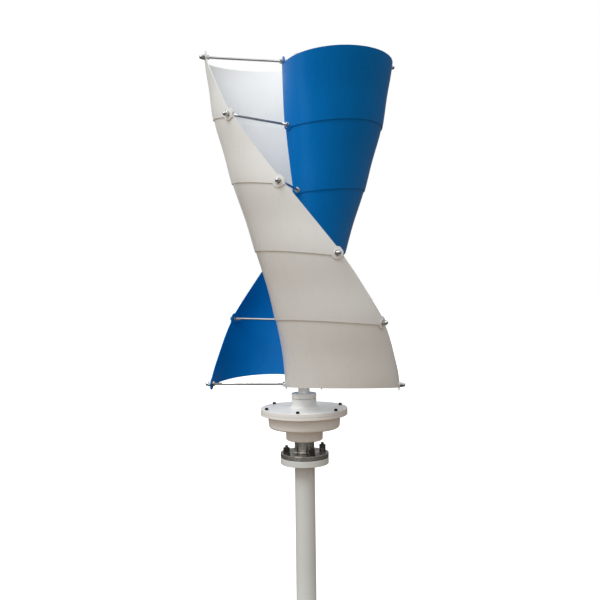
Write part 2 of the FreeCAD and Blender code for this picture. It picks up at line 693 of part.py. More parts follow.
def hub_clamp_ring():
    """Cap on the hub that carries the set screws; its lip closes the gap around the tube."""
    foot = HUB_GROOVE_Z + GROOVE_H
    lip_z = HUB_TOP - CLAMP_LIP_T
    bore = CLAMP_BOSS_R + THREAD_GAP
    tube_r = TUBE_R + THREAD_GAP
    body = revolve([(bore, foot), (HUB_R, foot), (HUB_R, HUB_TOP), (tube_r, HUB_TOP), (tube_r, lip_z),
                    (bore, lip_z)])
    body = round_edges(body, CLAMP_EDGE, lambda r, z: near(r, HUB_R) and near(z, HUB_TOP))
    body = round_edges(body, GROOVE_ROUND, lambda r, z: near(r, HUB_R) and near(z, foot))
    return cut_all(body, [set_screw_hole(angle) for angle in SET_SCREW_ANGLES])


def hub_set_screws():
    socket = hex_prism(SET_SCREW_SOCKET_AF, -SET_SCREW_SOCKET_DEPTH, OVER)
    screws = []
    for angle in SET_SCREW_ANGLES:
        face = polar(HUB_R - SET_SCREW_SINK, angle, SET_SCREW_Z)
        body = rod(SET_SCREW_R, polar(TUBE_R + THREAD_GAP, angle, SET_SCREW_Z), face)
        screws.append(body.cut(placed(socket, face, polar(1.0, angle))))
    return group(screws)


# ---- rotor shaft ----

def level_angle(z):
    """Direction of the white blade's outer edge at height z."""
    return TOP_ANGLE + TWIST_PER_LEVEL * (TOP_LEVEL_Z - z) / LEVEL_STEP


def rotor_shaft():
    tube = ring(TUBE_R, TUBE_R - TUBE_WALL, TUBE_Z, TUBE_TOP)
    reach = TUBE_R + OVER
    holes = [rod(ROD_R + THREAD_GAP, polar(-reach, level_angle(z), z), polar(reach, level_angle(z), z))
             for z in LEVEL_Z]
    return cut_all(tube, holes)


def shaft_cap():
    """Plug pressed into the top of the tube."""
    plug_r = TUBE_R - TUBE_WALL - PRESS_GAP
    foot = TUBE_TOP - CAP_PLUG_L
    top = TUBE_TOP + CAP_T
    outline = [(0, foot), (plug_r, foot), (plug_r, TUBE_TOP), (TUBE_R, TUBE_TOP), (TUBE_R, top - CAP_EDGE),
               (TUBE_R - CAP_EDGE, top), (0, top)]
    return revolve(outline)


# ---- blades ----

def shell_point(z, turn, radius, along):
    """Point of a blade's round section at height z: along is the angle from its outer edge, in degrees."""
    draw = 1.0 - WAIST * math.sin(math.pi * (TOP_LEVEL_Z - z) / LEVEL_STEP) ** 2
    reach = SHELL_OFFSET + radius * math.cos(math.radians(along))
    bulge = radius * math.sin(math.radians(along))
    angle = level_angle(z) + turn
    return polar(reach * draw, angle, z) + polar(bulge * draw, angle - 90.0)


def shell_skin(z, head_z):
    """Radius of a shell's outer surface at height z: it flares from its head to its foot."""
    return SHELL_R + FLARE * (head_z - z) / LEVEL_STEP


def band_wire(z, turn, outer, inner, start, end):
    """Closed outline between two round lines of the section, from one angle along it to another."""
    def arc(radius):
        points = [shell_point(z, turn, radius, along) for along in (start, (start + end) / 2.0, end)]
        return Part.Arc(*points).toShape()

    def side(along):
        return Part.makeLine(shell_point(z, turn, outer, along), shell_point(z, turn, inner, along))

    return Part.Wire([arc(outer), side(end), arc(inner), side(start)])


def band_solid(heights, head_z, turn, proud, start, end):
    """Solid that follows a shell, smooth through a section at each height, proud of it on both faces."""
    wires = []
    for z in heights:
        skin = shell_skin(z, head_z)
        wires.append(band_wire(z, turn, skin + proud, skin - SHELL_T - proud, start, end))
    return Part.makeLoft(wires, True, False)


def lug_cylinder(z, turn, sign):
    """Cylinder along the rod direction through one lug; +1 is the outer edge, -1 the inner edge."""
    reach, radius = (EDGE_R, OUTER_LUG_R) if sign > 0 else (-OVERLAP_R, INNER_LUG_R)
    angle = level_angle(z) + turn
    return rod(radius, polar(reach - LUG_CUT, angle, z), polar(reach + LUG_CUT, angle, z))


def seam_block(z, turn, lift, above):
    """Everything above or below the tilted plane of a seam, as a large box."""
    box = Part.makeBox(SEAM_BOX, SEAM_BOX, SEAM_BOX,
                       vec(-SEAM_BOX / 2.0, -SEAM_BOX / 2.0, 0.0 if above else -SEAM_BOX))
    box.rotate(vec(0, 0), vec(1, 0, 0), -math.degrees(math.atan2(RIM_RISE, SHELL_R)))
    box.rotate(vec(0, 0), Z, level_angle(z) + turn)
    box.translate(vec(0, 0, z - RIM_DROP + lift))
    return box


def lug_disc(z, turn, sign, outer, inner, radius):
    """Disc along the rod through a lug, between two radii of the shell's section."""
    angle = level_angle(z) + turn
    return rod(radius, polar(SHELL_OFFSET + sign * inner, angle, z),
               polar(SHELL_OFFSET + sign * outer, angle, z))


def blank_shell(head_z, foot_z, turn, lap):
    """A shell trimmed to its seams and free edges, with its lugs left standing."""
    z0 = foot_z - OUTER_LUG_R - SPARE
    z1 = head_z + OUTER_LUG_R + SPARE
    heights = [z0 + (z1 - z0) * i / (LOFT_SECTIONS - 1) for i in range(LOFT_SECTIONS)]
    margin = math.degrees(EDGE_MARGIN / SHELL_R)
    edge = math.degrees((EDGE_MARGIN + SPARE) / SHELL_R)
    beyond = edge + math.degrees(SPARE / SHELL_R)
    shell = band_solid(heights, head_z, turn, 0.0, -edge, 180.0 + edge)
    trims = [seam_block(head_z, turn, lap, True), seam_block(foot_z, turn, 0.0, False)]
    taller = [heights[0] - SPARE] + heights[1:-1] + [heights[-1] + SPARE]
    for start, end in ((-beyond, -margin), (180.0 + margin, 180.0 + beyond)):
        trims.append(band_solid(taller, head_z, turn, SPARE, start, end))
    lugs = group([lug_cylinder(z, turn, sign) for z in (head_z, foot_z) for sign in (1, -1)])
    for trim in trims:
        shell = shell.cut(trim.cut(lugs))
    return shell


def blade_shell(index, turn):
    """One lapped shell of a blade, from rod level index down to the next, with a lug at each corner."""
    head_z, foot_z = LEVEL_Z[index], LEVEL_Z[index + 1]
    first, last = index == 0, index == LEVELS - 2
    bosses, holes = [], []
    for z, boss_outside, boss_inside in ((head_z, first, True), (foot_z, True, last)):
        skin = shell_skin(z, head_z)
        inner = skin - SHELL_T
        boss_out = skin + BOSS_T if boss_outside else skin - BOSS_T
        boss_in = inner - BOSS_T if boss_inside else inner + BOSS_T
        for sign in (1, -1):
            bosses.append(lug_disc(z, turn, sign, boss_out, boss_in, BOSS_R))
            holes.append(lug_disc(z, turn, sign, skin + SPARE, inner - SPARE, ROD_HOLE_R))
    shell = blank_shell(head_z, foot_z, turn, 0.0 if first else LAP)
    return cut_all(shell.multiFuse(bosses), holes)


# ---- rods and their fasteners ----

def lug_faces(index, sign):
    """Reach along the rod of the outside and the inside clamping face at a lug of rod level index."""
    outer = SHELL_R + BOSS_T + (FLARE if index > 0 else 0.0)
    inner = SHELL_R - BOSS_T - SHELL_T + (FLARE if index == LEVELS - 1 else 0.0)
    return SHELL_OFFSET + sign * outer, SHELL_OFFSET + sign * inner


def tie_rod(index):
    z = LEVEL_Z[index]
    end = lug_faces(index, 1)[0] + WASHER_T + DOME_BORE - ROD_END_GAP
    bar = rod(ROD_R, polar(-end, level_angle(z), z), polar(end, level_angle(z), z))
    return bar.makeChamfer(ROD_POINT, round_ends(bar))


def dome_nut():
    """Dome nut standing on z = 0: a hex with a round cap and a blind bore."""
    dome_r = NUT_AF / 2.0 * DOME_SHARE
    straight = DOME_H - dome_r
    cap = disc(dome_r, NUT_T - OVER, straight)
    cap = cap.fuse(Part.makeSphere(dome_r, vec(0, 0, straight)).common(disc(dome_r, straight, DOME_H)))
    bore = ROD_R + THREAD_GAP
    return chamfered_nut(NUT_AF, NUT_T, bore).fuse(cap.cut(disc(bore, 0, DOME_BORE))).removeSplitter()


def each_lug():
    """Rod level, blade turn and side (+1 outer edge, -1 inner edge) of every lug."""
    for index in range(LEVELS):
        for _, turn in BLADES:
            for sign in (1, -1):
                yield index, turn, sign


def on_rod(shape, index, turn, reach, direction):
    """Copy of a fastener that stands on reach along the rod and points outwards (+1) or inwards (-1)."""
    z = LEVEL_Z[index]
    angle = level_angle(z) + turn
    return placed(shape, polar(reach, angle, z), polar(direction, angle))


def on_shaft(shape, reach):
    """Copies of a fastener at both sides of the shaft, on every rod."""
    return [on_rod(shape, index, turn, reach, 1) for index in range(LEVELS) for _, turn in BLADES]


def dome_nuts():
    nut = dome_nut()
    return group([on_rod(nut, index, turn, lug_faces(index, 1)[0] + WASHER_T, 1)
                  for index in range(LEVELS) for _, turn in BLADES])


def rod_washers():
    washer = ring(WASHER_R, WASHER_HOLE_R, 0, WASHER_T)
    rings = []
    for index, turn, sign in each_lug():
        outside, inside = lug_faces(index, sign)
        rings.append(on_rod(washer, index, turn, outside, sign))
        rings.append(on_rod(washer, index, turn, inside, -sign))
    return group(rings)


def rod_nuts():
    """Plain nuts: inside each outer lug, both sides of each inner lug, and on the saddle washers."""
    nut = chamfered_nut(NUT_AF, NUT_T, ROD_R + THREAD_GAP)
    nuts = on_shaft(nut, TUBE_R + SADDLE_T)
    for index, turn, sign in each_lug():
        outside, inside = lug_faces(index, sign)
        nuts.append(on_rod(nut, index, turn, inside - sign * WASHER_T, -sign))
        if sign < 0:
            nuts.append(on_rod(nut, index, turn, outside + sign * WASHER_T, sign))
    return group(nuts)


def saddle_washers():
    """Washers with one face hollowed to the round of the shaft."""
    blank = ring(SADDLE_R, WASHER_HOLE_R, 0, SADDLE_T + SADDLE_HOLLOW)
    shaft = disc(TUBE_R + PRESS_GAP, TUBE_Z, TUBE_TOP)
    return group([saddle.cut(shaft) for saddle in on_shaft(blank, TUBE_R - SADDLE_HOLLOW)])


def build():
    """Every node's shape, by name."""
    lower_inner, lower_outer = bearing_rings(LOWER_BEARING, LOWER_BEARING_Z)
    upper_inner, upper_outer = bearing_rings(UPPER_BEARING, UPPER_BEARING_Z)
    lower_plate_top = FLOOR_Z + PLATE_T
    nodes = {
        "mast_base_plate": mast_base_plate(),
        "mast_tube": mast_tube(),
        "mast_top_flange": mast_top_flange(),
        "flange_gasket": flange_gasket(),
        "flange_studs": flange_studs(),
        "flange_washers": flange_washers(),
        "flange_nuts": flange_nuts(),
        "stator_shaft": stator_shaft(),
        "stator_key": stator_key(),
        "bearing_spacer": bearing_spacer(),
        "stator_hub": stator_hub(),
        "stator_disc": stator_disc(),
        "stator_coils": stator_coils(),
        "stator_screws": stator_screws(),
        "stator_lock_nut": stator_lock_nut(),
        "shaft_circlip": shaft_circlip(),
        "lower_bearing_inner_ring": lower_inner,
        "lower_bearing_outer_ring": lower_outer,
        "lower_bearing_cage": bearing_cage(LOWER_BEARING, LOWER_BEARING_Z),
        "lower_bearing_balls": bearing_balls(LOWER_BEARING, LOWER_BEARING_Z),
        "upper_bearing_inner_ring": upper_inner,
        "upper_bearing_outer_ring": upper_outer,
        "upper_bearing_cage": bearing_cage(UPPER_BEARING, UPPER_BEARING_Z),
        "upper_bearing_balls": bearing_balls(UPPER_BEARING, UPPER_BEARING_Z),
        "lower_housing": lower_housing(),
        "shaft_seal": shaft_seal(),
        "housing_circlip": housing_circlip(),
        "lower_rotor_plate": rotor_plate(FLOOR_Z, lower_plate_top, -1, 0.0),
        "lower_magnets": magnets(lower_plate_top),
        "lower_plate_screws": plate_screws(lower_plate_top, -1, 0.0),
        "upper_rotor_plate": rotor_plate(UPPER_PLATE_Z, UPPER_PLATE_Z, 1, UPPER_SCREW_PHASE),
        "upper_magnets": magnets(UPPER_PLATE_Z - MAGNET_T),
        "upper_plate_screws": plate_screws(UPPER_PLATE_Z, 1, UPPER_SCREW_PHASE),
        "cover_gasket": cover_gasket(),
        "top_cover": top_cover(),
        "cover_screws": cover_screws(),
        "hub_clamp_ring": hub_clamp_ring(),
        "hub_set_screws": hub_set_screws(),
        "rotor_shaft": rotor_shaft(),
        "shaft_cap": shaft_cap(),
        "dome_nuts": dome_nuts(),
        "rod_washers": rod_washers(),
        "rod_nuts": rod_nuts(),
        "saddle_washers": saddle_washers(),
    }
    for index in range(LEVELS):
        nodes["tie_rod_%d" % (index + 1)] = tie_rod(index)
    for colour, turn in BLADES:
        for index in range(LEVELS - 1):
            nodes["%s_blade_%d" % (colour, index + 1)] = blade_shell(index, turn)
    return nodes


os.makedirs("parts", exist_ok=True)
for name, shape in build().items():
    shape.exportStep("parts/%s.step" % name)
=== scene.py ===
import math

import bmesh
import bpy
from mathutils import Matrix, Vector


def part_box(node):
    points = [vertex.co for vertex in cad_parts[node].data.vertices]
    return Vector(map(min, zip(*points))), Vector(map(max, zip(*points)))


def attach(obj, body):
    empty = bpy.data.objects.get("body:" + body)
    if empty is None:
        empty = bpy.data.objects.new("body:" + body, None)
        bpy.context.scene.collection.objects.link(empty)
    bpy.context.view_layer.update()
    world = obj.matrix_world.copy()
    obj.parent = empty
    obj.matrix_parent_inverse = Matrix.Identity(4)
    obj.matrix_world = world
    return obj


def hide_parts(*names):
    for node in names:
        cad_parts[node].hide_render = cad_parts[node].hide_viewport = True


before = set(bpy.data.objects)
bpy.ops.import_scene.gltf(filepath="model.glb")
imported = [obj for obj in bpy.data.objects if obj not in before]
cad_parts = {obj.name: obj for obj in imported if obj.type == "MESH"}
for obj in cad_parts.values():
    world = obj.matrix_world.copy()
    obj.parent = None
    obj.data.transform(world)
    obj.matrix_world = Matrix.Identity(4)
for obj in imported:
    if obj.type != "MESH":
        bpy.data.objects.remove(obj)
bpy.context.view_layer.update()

# Looks of a small vertical-axis wind turbine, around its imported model. Metres. +Z is up the mast, and the
# camera is on the -Y side. Angles are in degrees about +Z, counter-clockwise from above, from +X.

# ---- camera ----
CAMERA_PLACE = (-0.170, -2.410, 1.043)
CAMERA_HEADING = -3.84          # about +Z, from +Y
CAMERA_PITCH = -1.3
CAMERA_ROLL = -0.73             # about the line of sight
LENS_MM = 48.62

# ---- studio ----
# Brightness of the walls by direction, from the camera's side (0) round by the right (90) to the back (180).
WALLS = (
    (-180.0, 0.50),
    (-135.0, 0.50),
    (-100.0, 0.58),
    (-62.0, 1.18),
    (-35.0, 1.08),
    (-12.0, 0.86),
    (15.0, 0.66),
    (55.0, 0.49),
    (78.0, 0.29),
    (95.0, 0.16),
    (120.0, 0.07),
    (160.0, 0.10),
    (180.0, 0.50),
)
CEILING = 1.15
CEILING_FROM = 0.12             # sine of the elevation at which the walls begin to turn into the ceiling
CEILING_FULL = 0.85
KEY_STRENGTH = 1.25
KEY_WIDTH = 28.0                # angle that the key light fills, seen from the object
KEY_FROM = (-0.50, -0.50, 0.90)
FLOOR_RADIUS = 40.0
FLOOR_SEGMENTS = 96
FLOOR_TONES = ((0.86, 0.86, 0.86), (0.90, 0.90, 0.90))
FLOOR_GRAIN = 14.0              # scale of the pattern between the two tones
FLOOR_BOUNCE = (0.255, 0.177, 0.115)
FLOOR_MIRRORED = (0.085, 0.080, 0.072)
FLOOR_GLOW = 0.20

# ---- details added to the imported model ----
STUD_COUNT = 4
STUD_PHASE = 17.0
STUD_CIRCLE = 0.0576
STUD_RADIUS = 0.005
STUD_PITCH = 0.0015
ROD_LEVELS = 6
ROD_RADIUS = 0.004
ROD_PITCH = 0.00125
ROD_THREAD_END = 0.048          # length of thread at both ends of a rod
ROD_THREAD_INNER = (0.022, 0.078)   # a second thread either side of the shaft, from and to this reach
THREAD_SHARE = 0.61             # depth of a thread, as a share of its pitch
THREAD_SEGMENTS = 18
THREAD_STEPS = 4                # rings of vertices for each turn of a thread
ROD_POINT = 0.0008
MAST_RADIUS = 0.030
BEAD_RIPPLES = 64
BEAD_SEGMENTS = 768
BEAD_PROFILE = 7
BEAD_DEPTH = 0.10               # height of a ripple, as a share of the bead's size
BEAD_HOLLOW = 0.22              # how far the bead's face is drawn in at its middle, as a share of its size
BEAD_ROOT = 0.25                # depth of the bead's root in the corner, as a share of its size
TOP_BEAD = 0.0045
FOOT_BEAD = 0.0062

BLADE_COLOURS = ("white", "blue")
BLADE_SHELLS = 5
SHARP_ANGLE = 40.0              # edges that turn by more than this stay sharp

# ---- colours (linear) ----
WHITE_GEL = (0.75, 0.77, 0.76)
WHITE_GEL_DEEP = (0.66, 0.67, 0.65)
# painted light: the inside of the white shells gets a brighter white than the outside, in place of light
# coming through and bouncing within the thin shell
WHITE_INSIDE_PAINTED_LIGHT = (0.87, 0.90, 0.91)
WHITE_INSIDE_DEEP_PAINTED_LIGHT = (0.77, 0.79, 0.80)
BLUE_GEL = (0.001, 0.158, 0.51)
BLUE_GEL_DEEP = (0.001, 0.120, 0.41)
WHITE_TINT = (1.0, 1.0, 1.0)
BLUE_TINT = (0.02, 0.45, 1.0)
MAST_PAINT = (0.63, 0.655, 0.645)
HOUSING_PAINT = (0.80, 0.80, 0.785)
# painted light: a whiter white than the housing's, making up for the shade that the blades cast on the shaft
SHAFT_PAINT_WITH_PAINTED_LIGHT = (0.93, 0.94, 0.93)
DUST = (0.70, 0.68, 0.64)
STAINLESS = (0.54, 0.51, 0.465)
# painted shade: the near-black tone that the turned steel takes where it faces up
UPWARD_PAINTED_SHADE = (0.09, 0.085, 0.07)
FASTENER = (0.60, 0.595, 0.58)
DULL_FASTENER = (0.17, 0.163, 0.15)
GRIME = (0.22, 0.215, 0.205)
BLACK_OXIDE = (0.022, 0.021, 0.020)
RUBBED_OXIDE = (0.16, 0.15, 0.14)
BEARING_STEEL = (0.66, 0.66, 0.67)
BRASS = (0.72, 0.52, 0.20)
PLAIN_STEEL = (0.42, 0.415, 0.41)
ALUMINIUM = (0.72, 0.72, 0.73)
DULL_NICKEL = (0.66, 0.63, 0.58)
NICKEL = (0.74, 0.72, 0.67)
DARK_RESIN = (0.115, 0.075, 0.028)
LIGHT_RESIN = (0.19, 0.13, 0.055)
RESIN_PORE = (0.05, 0.03, 0.012)
WIRE_GAP = (0.30, 0.095, 0.035)
COPPER = (0.74, 0.34, 0.16)
RUBBER = (0.014, 0.014, 0.015)
RUBBER_BLOOM = (0.045, 0.044, 0.043)
WHITE_PLASTIC = (0.74, 0.74, 0.72)
PALE_GASKET = (0.62, 0.62, 0.61)

# ---- patterns: one unit of a scale is one pattern cell for each metre ----
NOISE_LOW = 0.3                 # most of a noise lies between these two values
NOISE_HIGH = 0.7
STEEL_RINGS = 2600.0            # turned shaft, along the radius and along the axis
STEEL_COARSE_RINGS = STEEL_RINGS / 7.0
GROUND_RINGS = 4200.0
MACHINED_RINGS = 1500.0
WIRE_RINGS = 330.0
ROD_SCRATCHES = (25.0, 2200.0, 2200.0)
GEL_STREAKS = (40.0, 40.0, 12.0)
GEL_SWIRLS = (220.0, 220.0, 60.0)
FLAT_STRANDS = (170.0, 170.0, 60.0)
STEEP_STRANDS = (90.0, 90.0, 210.0)

# ---- colour sockets of the Mix node ----
MIX_FIRST = 6
MIX_SECOND = 7
MIX_RESULT = 2


# ---- material building blocks ----

class Finish:
    """A procedural material around one Principled shader, with a short call for each kind of node."""

    def __init__(self, name, **sockets):
        self.material = bpy.data.materials.new(name)
        self.material.use_nodes = True
        self.nodes = self.material.node_tree.nodes
        self.links = self.material.node_tree.links
        self.shader = self.nodes["Principled BSDF"]
        self.place = self.nodes.new("ShaderNodeTexCoord").outputs["Object"]
        self.normal = None
        for socket, value in sockets.items():
            self.shader.inputs[socket.replace("_", " ")].default_value = value

    def feed(self, socket, value):
        """Sets an input to a number or a colour, or links an output to it."""
        if isinstance(value, bpy.types.NodeSocket):
            self.links.new(value, socket)
        else:
            socket.default_value = value

    def math(self, operation, first, second=0.0):
        node = self.nodes.new("ShaderNodeMath")
        node.operation = operation
        self.feed(node.inputs[0], first)
        self.feed(node.inputs[1], second)
        return node.outputs[0]

    def stretched(self, scale, turn=0.0):
        """Object coordinates turned about Z and then scaled along each axis."""
        node = self.nodes.new("ShaderNodeMapping")
        node.vector_type = "POINT"
        node.inputs["Rotation"].default_value = (0.0, 0.0, math.radians(-turn))
        scaled = self.nodes.new("ShaderNodeVectorMath")
        scaled.operation = "MULTIPLY"
        scaled.inputs[1].default_value = scale
        self.feed(node.inputs["Vector"], self.place)
        self.feed(scaled.inputs[0], node.outputs[0])
        return scaled.outputs[0]

    def polar(self, scale, around):
        """Coordinates for turned work: distance from the Z axis, a little of the angle, and height."""
        split = self.nodes.new("ShaderNodeSeparateXYZ")
        self.feed(split.inputs[0], self.place)
        x, y, z = split.outputs
        square = self.math("ADD", self.math("MULTIPLY", x, x), self.math("MULTIPLY", y, y))
        join = self.nodes.new("ShaderNodeCombineXYZ")
        self.feed(join.inputs[0], self.math("MULTIPLY", self.math("SQRT", square), scale))
        self.feed(join.inputs[1], self.math("MULTIPLY", self.math("ARCTAN2", y, x), around))
        self.feed(join.inputs[2], self.math("MULTIPLY", z, scale))
        return join.outputs[0]

    def noise(self, scale, detail, vector=None):
        node = self.nodes.new("ShaderNodeTexNoise")
        node.inputs["Scale"].default_value = scale
        node.inputs["Detail"].default_value = detail
        self.feed(node.inputs["Vector"], vector or self.place)
        return node.outputs["Fac"]

    def cells(self, scale, feature="F1", vector=None):
        node = self.nodes.new("ShaderNodeTexVoronoi")
        node.feature = feature
        node.inputs["Scale"].default_value = scale
        self.feed(node.inputs["Vector"], vector or self.place)
        return node.outputs["Distance"]

    def spread(self, value, low, high, start, end):
        """Maps low..high of a pattern to start..end, clamped."""
        node = self.nodes.new("ShaderNodeMapRange")
        for socket, number in zip(node.inputs[1:5], (low, high, start, end)):
            socket.default_value = number
        self.feed(node.inputs[0], value)
        return node.outputs[0]

    def range_of(self, noise, start, end):
        """Maps the usual range of a noise to start..end, clamped."""
        return self.spread(noise, NOISE_LOW, NOISE_HIGH, start, end)

    def blend(self, factor, first, second):
        """Colour between two colours."""
        node = self.nodes.new("ShaderNodeMix")
        node.data_type = "RGBA"
        self.feed(node.inputs["Factor"], factor)
        self.feed(node.inputs[MIX_FIRST], first)
        self.feed(node.inputs[MIX_SECOND], second)
        return node.outputs[MIX_RESULT]

    def facing_up(self, start, end):
        """0 where a surface leans less than start from vertical, 1 where it faces up more than end."""
        geometry = self.nodes.new("ShaderNodeNewGeometry")
        split = self.nodes.new("ShaderNodeSeparateXYZ")
        self.feed(split.inputs[0], geometry.outputs["Normal"])
        return self.spread(split.outputs[2], start, end, 0.0, 1.0)

    def colour(self, value):
        self.feed(self.shader.inputs["Base Color"], value)

    def roughness(self, value):
        self.feed(self.shader.inputs["Roughness"], value)

    def bump(self, height, distance, strength):
        """Adds relief on top of the relief so far; distance is the height of the pattern's full range."""
        node = self.nodes.new("ShaderNodeBump")
        node.inputs["Strength"].default_value = strength
        node.inputs["Distance"].default_value = distance
        self.feed(node.inputs["Height"], height)
        if self.normal is not None:
            self.feed(node.inputs["Normal"], self.normal)
        self.normal = node.outputs[0]
        self.feed(self.shader.inputs["Normal"], self.normal)


def rgba(colour, factor=1.0):
    return tuple(channel * factor for channel in colour) + (1.0,)


# ---- finishes, one function per kind ----

def powder_coat(name, colour):
    """Satin coat with a fine orange-peel grain, a little dust on what faces up and faint blotches."""
    finish = Finish(name, Metallic=0.0, IOR=1.5, Coat_Weight=0.12, Coat_Roughness=0.22)
    blotch = finish.range_of(finish.noise(scale=7.0, detail=4.0), 0.0, 1.0)
    coat = finish.blend(blotch, rgba(colour, 0.965), rgba(colour))
    speck = finish.spread(finish.noise(scale=900.0, detail=1.0), 0.70, 0.78, 0.0, 0.35)
    coat = finish.blend(speck, coat, rgba(colour, 0.88))
    patches = finish.spread(finish.noise(scale=28.0, detail=5.0), 0.4, 0.75, 0.0, 0.22)
    dust = finish.math("MULTIPLY", finish.facing_up(0.5, 0.95), patches)
    finish.colour(finish.blend(dust, coat, rgba(DUST)))
    finish.roughness(finish.range_of(finish.noise(scale=45.0, detail=4.0), 0.34, 0.46))
    finish.bump(finish.noise(scale=480.0, detail=2.0), distance=0.00012, strength=0.5)
    return finish.material


def gel_coat(name, colour, deep, shine, tint, coat):
    """Outside of a moulded shell: glossy, very slightly wavy, with faint swirl marks.

    shine is the specular level, tint is its colour and coat is the weight of the clear coat.
    """
    finish = Finish(name, Metallic=0.0, IOR=1.5, Specular_IOR_Level=shine, Specular_Tint=rgba(tint),
                    Coat_Weight=coat, Coat_Roughness=0.14)
    cloud = finish.range_of(finish.noise(scale=5.0, detail=3.0), 0.0, 1.0)
    streaks = finish.noise(scale=1.0, detail=4.0, vector=finish.stretched(GEL_STREAKS))
    streak = finish.spread(streaks, 0.35, 0.7, 0.0, 0.18)
    skin = finish.blend(cloud, rgba(colour, 0.97), rgba(colour, 1.02))
    finish.colour(finish.blend(streak, skin, rgba(deep)))
    swirl = finish.noise(scale=1.0, detail=5.0, vector=finish.stretched(GEL_SWIRLS))
    finish.roughness(finish.spread(swirl, 0.3, 0.75, 0.26, 0.38))
    finish.bump(finish.noise(scale=9.0, detail=1.0), distance=0.0012, strength=0.30)
    finish.bump(finish.noise(scale=420.0, detail=2.0), distance=0.00001, strength=0.30)
    return finish.material


def mat_side(name, colour, deep, shine, tint, coat):
    """Inside of a moulded shell: duller than the outside, with the print of the chopped strand mat."""
    finish = Finish(name, Metallic=0.0, IOR=1.5, Specular_IOR_Level=shine, Specular_Tint=rgba(tint),
                    Coat_Weight=coat, Coat_Roughness=0.12)
    strands = finish.math(
        "MINIMUM",
        finish.cells(scale=1.0, feature="DISTANCE_TO_EDGE", vector=finish.stretched(FLAT_STRANDS)),
        finish.cells(scale=1.0, feature="DISTANCE_TO_EDGE", vector=finish.stretched(STEEP_STRANDS)),
    )
    print_through = finish.spread(strands, 0.0, 0.16, 0.0, 1.0)
    cloud = finish.range_of(finish.noise(scale=9.0, detail=4.0), 0.0, 1.0)
    skin = finish.blend(cloud, rgba(colour, 0.96), rgba(colour, 1.01))
    groove = finish.math("MULTIPLY", finish.math("SUBTRACT", 1.0, print_through), 0.10)
    finish.colour(finish.blend(groove, skin, rgba(deep)))
    finish.roughness(finish.range_of(finish.noise(scale=60.0, detail=4.0), 0.36, 0.5))
    finish.bump(finish.noise(scale=10.0, detail=1.0), distance=0.0010, strength=0.25)
    finish.bump(print_through, distance=0.00014, strength=0.35)
    return finish.material


def turned_steel(name, colour, low, high):
    """Turned about Z: fine rings that stretch the highlights, and painted shade on what faces up, a dark
    tone in place of the dark reflections there.
    """
    finish = Finish(name, Metallic=1.0, Anisotropic=0.9, Anisotropic_Rotation=0.25)
    rings = finish.noise(scale=1.0, detail=4.0, vector=finish.polar(STEEL_RINGS, 0.6))
    coarse = finish.noise(scale=1.0, detail=2.0, vector=finish.polar(STEEL_COARSE_RINGS, 0.3))
    smear = finish.noise(scale=55.0, detail=5.0)
    tone = finish.blend(finish.range_of(coarse, 0.0, 1.0), rgba(colour, 0.86), rgba(colour))
    worn = finish.blend(finish.spread(smear, 0.55, 0.75, 0.0, 0.3), tone, rgba(colour, 0.78))
    # painted shade: faces that look up are darkened, standing in for the dark reflections they show
    darker_tone = finish.math("MULTIPLY", finish.facing_up(0.8, 0.98), finish.spread(smear, 0.4, 0.6, 0.62, 1.0))
    finish.colour(finish.blend(darker_tone, worn, rgba(UPWARD_PAINTED_SHADE)))
    finish.roughness(finish.spread(finish.math("ADD", rings, smear), 0.6, 1.4, low, high))
    finish.bump(rings, distance=0.00003, strength=0.5)
    tangent = finish.nodes.new("ShaderNodeTangent")
    tangent.direction_type = "RADIAL"
    tangent.axis = "Z"
    finish.feed(finish.shader.inputs["Tangent"], tangent.outputs[0])
    return finish.material


def bright_fastener(name, colour):
    """Stamped and tumbled stainless steel: polished, with tool marks, scuffs and a little grime."""
    finish = Finish(name, Metallic=1.0)
    scuff = finish.noise(scale=700.0, detail=5.0)
    grime = finish.spread(finish.noise(scale=160.0, detail=4.0), 0.55, 0.78, 0.0, 0.30)
    tone = finish.blend(finish.spread(scuff, 0.35, 0.65, 0.0, 1.0), rgba(colour, 0.88), rgba(colour))
    finish.colour(finish.blend(grime, tone, rgba(GRIME)))
    finish.roughness(finish.spread(finish.math("ADD", scuff, grime), 0.35, 1.1, 0.13, 0.36))
    finish.bump(scuff, distance=0.00003, strength=0.4)
    return finish.material


def drawn_steel(name, colour, turn):
    """Bar drawn along the direction turn: long fine scratches."""
    finish = Finish(name, Metallic=1.0)
    lines = finish.noise(scale=1.0, detail=4.0, vector=finish.stretched(ROD_SCRATCHES, turn))
    smudge = finish.noise(scale=38.0, detail=4.0)
    finish.colour(finish.blend(finish.spread(smudge, 0.4, 0.7, 0.0, 1.0), rgba(colour), rgba(colour, 0.84)))
    finish.roughness(finish.spread(finish.math("ADD", lines, smudge), 0.6, 1.4, 0.10, 0.24))
    finish.bump(lines, distance=0.00002, strength=0.4)
    return finish.material


def blackened(name):
    """Black oxide on steel, thin where a key or a hand has rubbed it."""
    finish = Finish(name, Metallic=0.85)
    rub = finish.spread(finish.noise(scale=420.0, detail=5.0), 0.56, 0.74, 0.0, 0.5)
    finish.colour(finish.blend(rub, rgba(BLACK_OXIDE), rgba(RUBBED_OXIDE)))
    finish.roughness(finish.range_of(finish.noise(scale=900.0, detail=3.0), 0.34, 0.5))
    finish.bump(finish.noise(scale=1500.0, detail=2.0), distance=0.00002, strength=0.5)
    return finish.material


def ground_steel(name, colour):
    """Hardened and ground, nearly a mirror, with the faintest grinding rings and an oil film."""
    finish = Finish(name, Metallic=1.0)
    rings = finish.noise(scale=1.0, detail=3.0, vector=finish.polar(GROUND_RINGS, 0.4))
    darker_tone = finish.spread(finish.noise(scale=90.0, detail=3.0), 0.35, 0.7, 0.0, 1.0)
    finish.colour(finish.blend(darker_tone, rgba(colour), rgba(colour, 0.9)))
    finish.roughness(finish.range_of(rings, 0.06, 0.16))
    finish.bump(rings, distance=0.00001, strength=0.4)
    return finish.material


